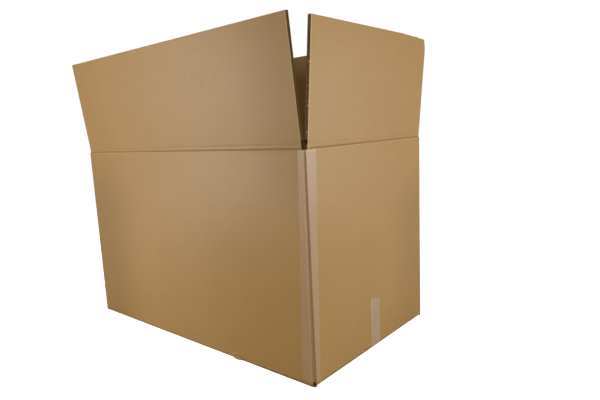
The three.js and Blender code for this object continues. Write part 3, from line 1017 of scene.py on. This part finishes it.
class CARTON_OT_torn_fibres(bpy.types.Operator):
    """Add the torn bits of liner that lie over the near cut edge of the right flap"""
    bl_idname = "carton.torn_fibres"
    bl_label = "Torn fibres"

    def execute(self, context):
        sizes, colours = context.scene.carton_sizes, context.scene.carton_colours
        draw = random.Random(7)
        where = SIDES[1]
        bits = []
        for height, size in TORN_FIBRES:
            edge = -where.flap_half
            bit = block("bit", (edge - TORN_OUTSIDE, 0, height - size), (
                edge + TORN_INSIDE, size * TORN_REACH, height + size))
            with editing(bit, "VERT"):
                bpy.ops.mesh.select_all(action="SELECT")
                bpy.ops.mesh.subdivide(number_cuts=2)
            for vertex in bit.data.vertices:
                out = vertex.co.y / (size * TORN_REACH)
                vertex.co.y += out * size * 0.6 * (draw.random() - 0.5)
                vertex.co.z += (draw.random() - 0.5) * size * 0.8 * out
            bits.append(bit)
        torn = joined("torn_fibres", bits)
        place(torn, flap_matrix(where))
        paint(torn, kraft_liner("torn_liner", colours, sizes))
        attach(torn, "right_flap")
        return {"FINISHED"}


# Stage: camera, lights and floor

CAMERA_PLACE = Vector((0.9286, -0.9275, 0.4970))
CAMERA_YAW = math.radians(42.341)
CAMERA_DOWN = math.radians(9.043)
CAMERA_ROLL = math.radians(-3.145)
CAMERA_LENS_PIXELS = 496.51
CAMERA_CENTRE_PIXELS = (270.68, 206.97)
IMAGE_WIDTH = 600
IMAGE_HEIGHT = 400

Softbox = namedtuple("Softbox", "name azimuth elevation distance width height power")
SOFTBOXES = [
    Softbox("front_strip", -38, 2.5, 2.1, 0.3, 0.9, 22),
    Softbox("near_left_softbox", -14, 5, 1.3, 0.5, 0.6, 0.9),
    Softbox("end_strip", 129, 2.5, 2.1, 0.3, 0.8, 11.5),
    Softbox("camera_softbox", 38, 8, 2.0, 0.8, 0.7, 3.4),
    Softbox("right_softbox", 78, 6, 1.9, 1.0, 0.7, 9.8),
    Softbox("top_softbox", 41, 50, 2.2, 1.2, 1.2, 7),
    Softbox("back_fill", -150, 42, 2.4, 1.3, 1.3, 26),
]
AIM = Vector((0, 0, 0.33))
AMBIENT = 0.02
ROOM_GLOW = 1.03
FLOOR_GLOW = 1.0


def direction(azimuth, elevation):
    """Unit vector from the object towards a place; azimuth 0 is in front of the front panel."""
    return Vector((
        math.sin(azimuth) * math.cos(elevation), -math.cos(azimuth) * math.cos(elevation),
        math.sin(elevation)))


def add_camera(scene):
    data = bpy.data.cameras.new("camera")
    data.sensor_width = 36
    data.lens = CAMERA_LENS_PIXELS / IMAGE_WIDTH * data.sensor_width
    data.shift_x = (IMAGE_WIDTH / 2 - CAMERA_CENTRE_PIXELS[0]) / IMAGE_WIDTH
    data.shift_y = (CAMERA_CENTRE_PIXELS[1] - IMAGE_HEIGHT / 2) / IMAGE_WIDTH
    camera = bpy.data.objects.new("camera", data)
    scene.collection.objects.link(camera)
    back = direction(CAMERA_YAW, CAMERA_DOWN)
    level = (-back).cross(Vector((0, 0, 1))).normalized()
    rise = level.cross(-back)
    right = math.cos(CAMERA_ROLL) * level + math.sin(CAMERA_ROLL) * rise
    up = -math.sin(CAMERA_ROLL) * level + math.cos(CAMERA_ROLL) * rise
    turn = Matrix((right, up, back)).transposed()
    camera.matrix_world = Matrix.Translation(CAMERA_PLACE) @ turn.to_4x4()
    scene.camera = camera


def add_softbox(scene, box):
    data = bpy.data.lights.new(box.name, "AREA")
    data.shape = "RECTANGLE"
    data.size = box.width
    data.size_y = box.height
    data.energy = box.power
    light = bpy.data.objects.new(box.name, data)
    scene.collection.objects.link(light)
    towards = direction(math.radians(box.azimuth), math.radians(box.elevation))
    light.location = AIM + towards * box.distance
    light.rotation_mode = "QUATERNION"
    light.rotation_quaternion = towards.to_track_quat("Z", "Y")


def studio_floor():
    """White floor that glows like the white room, so that no horizon or shadow shows."""
    finish = Finish("studio_floor")
    paper = finish.noise(finish.position(), 3, 2)
    colour = finish.blend(paper, (0.60, 0.60, 0.60), (0.64, 0.64, 0.64))
    matt = finish.node("ShaderNodeBsdfDiffuse", None, {"Color": colour})
    glow = finish.node("ShaderNodeEmission", None, {"Color": (1, 1, 1, 1), "Strength": FLOOR_GLOW})
    both = finish.node("ShaderNodeAddShader", None, {0: matt.outputs[0], 1: glow.outputs[0]})
    seen = finish.node("ShaderNodeLightPath").outputs["Is Camera Ray"]
    mix = finish.node("ShaderNodeMixShader", None, {0: seen, 1: matt.outputs[0], 2: both.outputs[0]})
    finish.node("ShaderNodeOutputMaterial", None, {"Surface": mix.outputs[0]})
    return finish.owner


def add_room(scene):
    """White room that is seen as white and lights the carton only a little."""
    room = Finish("studio_room", "worlds")
    seen = room.node("ShaderNodeLightPath").outputs["Is Camera Ray"]
    strength = room.node("ShaderNodeMix", {"data_type": "FLOAT"}, {0: seen, 2: AMBIENT, 3: ROOM_GLOW})
    white = room.node("ShaderNodeBackground", None, {"Color": (1, 1, 1, 1), "Strength": strength.outputs[0]})
    room.node("ShaderNodeOutputWorld", None, {"Surface": white.outputs[0]})
    scene.world = room.owner


class CARTON_OT_stage(bpy.types.Operator):
    """Set up the camera, the soft lights, the white floor and the room"""
    bl_idname = "carton.stage"
    bl_label = "Stage"

    def execute(self, context):
        scene = context.scene
        scene.view_settings.view_transform = "Standard"
        add_camera(scene)
        for box in SOFTBOXES:
            add_softbox(scene, box)
        add_room(scene)
        bpy.ops.object.select_all(action="DESELECT")
        bpy.ops.mesh.primitive_plane_add(size=16, location=(0, 0, -0.2 * MM))
        floor = context.object
        floor.name = "studio_floor"
        paint(floor, studio_floor())
        return {"FINISHED"}


OPERATORS = [
    CARTON_OT_case, CARTON_OT_bottom, CARTON_OT_flaps, CARTON_OT_creases, CARTON_OT_joint_tape,
    CARTON_OT_seam_tape, CARTON_OT_torn_fibres, CARTON_OT_stage,
]


class CARTON_PT_panel(bpy.types.Panel):
    """Sizes, colours and building steps of the carton"""
    bl_idname = "CARTON_PT_panel"
    bl_label = "Carton"
    bl_space_type = "VIEW_3D"
    bl_region_type = "UI"
    bl_category = "Carton"

    def draw(self, context):
        for group in (context.scene.carton_sizes, context.scene.carton_colours):
            for name in group.bl_rna.properties.keys():
                if name not in ("rna_type", "name"):
                    self.layout.prop(group, name)
        for operator in OPERATORS:
            self.layout.operator(operator.bl_idname)


CLASSES = [CartonSizes, CartonColours, *OPERATORS, CARTON_PT_panel]


def register():
    for cls in CLASSES:
        bpy.utils.register_class(cls)
    bpy.types.Scene.carton_sizes = bpy.props.PointerProperty(type=CartonSizes)
    bpy.types.Scene.carton_colours = bpy.props.PointerProperty(type=CartonColours)


def unregister():
    del bpy.types.Scene.carton_colours
    del bpy.types.Scene.carton_sizes
    for cls in reversed(CLASSES):
        bpy.utils.unregister_class(cls)


def main():
    register()
    for operator in OPERATORS:
        group, name = operator.bl_idname.split(".")
        getattr(getattr(bpy.ops, group), name)()
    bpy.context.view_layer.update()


if __name__ == "__main__":
    main()
